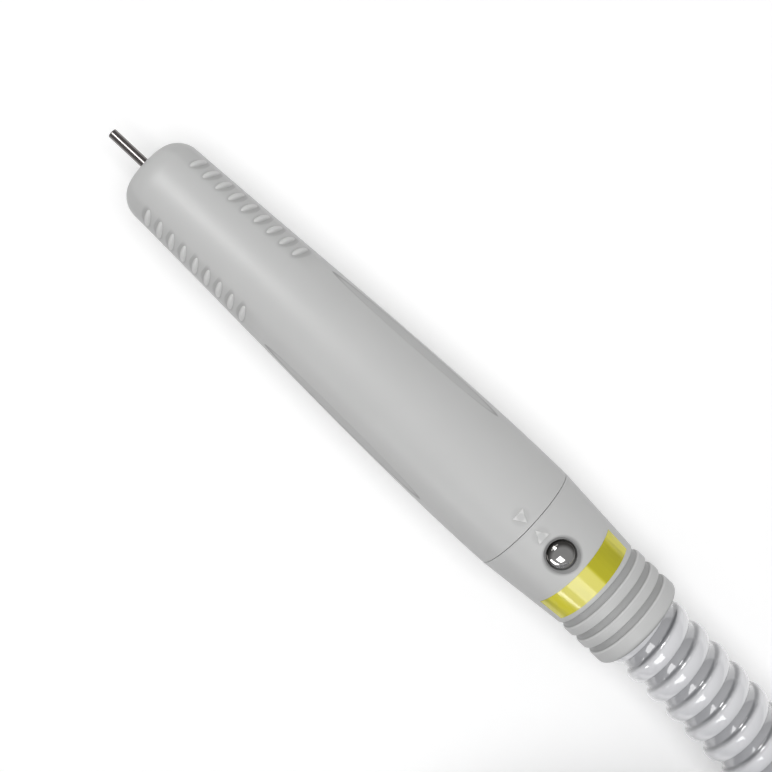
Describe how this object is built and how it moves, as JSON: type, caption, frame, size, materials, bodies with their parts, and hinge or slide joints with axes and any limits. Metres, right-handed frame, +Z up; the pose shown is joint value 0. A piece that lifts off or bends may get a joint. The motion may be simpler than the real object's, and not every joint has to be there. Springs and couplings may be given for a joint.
{
  "type": "surgical drill handpiece",
  "caption": "Pen-shaped electric drill handpiece with twist chuck release, touch button and wide corrugated suction hose wound in a coil.",
  "frame": {"origin": "centre of the handpiece's outline, on the flat surface that it lies on; hose not counted", "axes": "+X along the drive axis from the nose to the hose, +Z up through the touch button, +Y to the side"},
  "size_m": [0.388, 0.2367, 0.0613],
  "materials": {
    "sleeve_plastic": "light warm grey moulded plastic, satin",
    "collar_plastic": "light warm grey moulded plastic, satin",
    "yellow_film": "yellow film",
    "polished_steel": "polished stainless steel",
    "tool_steel": "ground shank",
    "hardened_steel": "hardened and ground",
    "spring_steel": "blued spring steel",
    "housing_aluminium": "anodised",
    "laminations": "varnished laminations",
    "copper": "enamelled copper wire",
    "magnet": "nickel plated magnet",
    "brass": "turned brass",
    "cage_plastic": "bearing cage plastic",
    "board": "circuit board",
    "switch_plastic": "black switch body",
    "seal_rubber": "soft black rubber",
    "cable_jacket": "cable jacket",
    "hose_plastic": "soft ribbed hose, pale and glossy",
    "cuff_plastic": "moulded cuff",
    "plug_plastic": "moulded connector",
    "contact_gold": "plated contacts"
  },
  "bodies": {
    "handle": {"rear_collar": "collar_plastic", "yellow_band": "yellow_film", "retaining_ring": "spring_steel", "sleeve_seal": "seal_rubber", "spigot_screws": "hardened_steel", "button_switch": "switch_plastic", "switch_board": "board", "motor_housing": "housing_aluminium", "nose_nut": "hardened_steel", "front_bearing_outer_rings": "hardened_steel", "rear_bearing_outer_ring": "hardened_steel", "outer_ring_spacer": "hardened_steel", "stator_core": "laminations", "stator_windings": "copper", "sensor_board": "board", "preload_washer": "spring_steel", "end_cap": "housing_aluminium", "cable_grommet": "seal_rubber", "motor_cable": "cable_jacket", "hose_cuff": "cuff_plastic", "hose": "hose_plastic", "hose_coil": "hose_plastic", "hose_plug": "plug_plastic", "contact_insert": "switch_plastic", "contact_pins": "contact_gold"},
    "sleeve": {"front_sleeve": "sleeve_plastic", "cam_sleeve": "brass"},
    "release": {"release_ring": "hardened_steel", "cam_pins": "hardened_steel"},
    "rotor": {"spindle": "hardened_steel", "rotor_magnet": "magnet", "balance_rings": "brass", "front_bearing_inner_rings": "hardened_steel", "rear_bearing_inner_ring": "hardened_steel", "inner_ring_spacer": "hardened_steel", "disc_springs": "spring_steel"},
    "chuck": {"collet": "hardened_steel", "cross_pin": "hardened_steel", "thrust_collar": "hardened_steel"},
    "tool": {"drill_shank": "tool_steel"},
    "ball_sets": {"bearing_balls": "polished_steel", "bearing_cages": "cage_plastic"},
    "button": {"touch_button": "polished_steel", "button_seal": "seal_rubber", "switch_plunger": "switch_plastic"}
  },
  "joints": [
    {"name": "sleeve_twist", "type": "hinge", "parent": "handle", "child": "sleeve", "pos_m": [-0.0121, 0, 0.01413], "axis": [1, 0, 0], "range_deg": [0, 35]},
    {"name": "release_slide", "type": "slide", "parent": "handle", "child": "release", "axis": [-1, 0, 0], "range_m": [0, 0.0012]},
    {"name": "spindle_spin", "type": "hinge", "parent": "handle", "child": "rotor", "pos_m": [-0.0121, 0, 0.01413], "axis": [1, 0, 0], "continuous": true},
    {"name": "ball_set_spin", "type": "hinge", "parent": "handle", "child": "ball_sets", "pos_m": [-0.0121, 0, 0.01413], "axis": [1, 0, 0], "continuous": true},
    {"name": "collet_slide", "type": "slide", "parent": "rotor", "child": "chuck", "axis": [-1, 0, 0], "range_m": [0, 0.0009], "deforming": ["disc_springs"]},
    {"name": "tool_slide", "type": "slide", "parent": "chuck", "child": "tool", "axis": [-1, 0, 0], "range_m": [0, 0.036]},
    {"name": "button_press", "type": "slide", "parent": "handle", "child": "button", "axis": [-0.0812, 0, -0.9967], "range_m": [0, 0.0004], "stiffness_N_per_m": 600, "springref_m": -0.0002}
  ],
  "couplings": [
    {"joint": "release_slide", "follows": "sleeve_twist", "m_per_rad": 0.0019644},
    {"joint": "collet_slide", "follows": "sleeve_twist", "m_per_rad": 0.0014733},
    {"joint": "ball_set_spin", "follows": "spindle_spin", "ratio": 0.41222}
  ]
}
